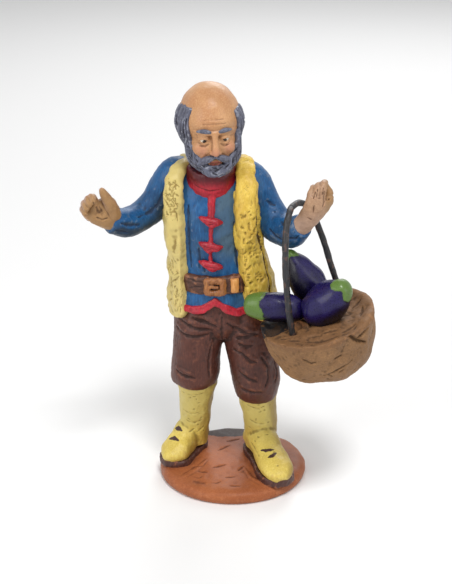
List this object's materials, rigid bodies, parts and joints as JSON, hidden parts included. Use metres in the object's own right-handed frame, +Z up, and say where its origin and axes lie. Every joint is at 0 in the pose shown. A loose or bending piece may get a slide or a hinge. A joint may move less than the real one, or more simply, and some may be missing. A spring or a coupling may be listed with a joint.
{
  "type": "figurine",
  "caption": "Painted clay figurine of a bearded farmer in waistcoat and boots, arms out, with a wire-handled basket of aubergines hung from one arm, on a round base.",
  "frame": {"origin": "centre of the base's flat underside", "axes": "+Z up the figure; the farmer faces -Y; his right hand is towards -X and his basket arm towards +X"},
  "size_m": [0.0604, 0.0407, 0.0889],
  "materials": {
    "painted_clay": "hand-painted terracotta, satin",
    "basket_clay": "tan clay, matte",
    "black_wire": "blackened wire, satin",
    "aubergine_paint": "violet paint, gloss"
  },
  "bodies": {
    "root": {"farmer": "painted_clay", "basket": "basket_clay", "handle": "black_wire", "aubergine_front": "aubergine_paint", "aubergine_middle": "aubergine_paint", "aubergine_back": "aubergine_paint"}
  },
  "joints": []
}
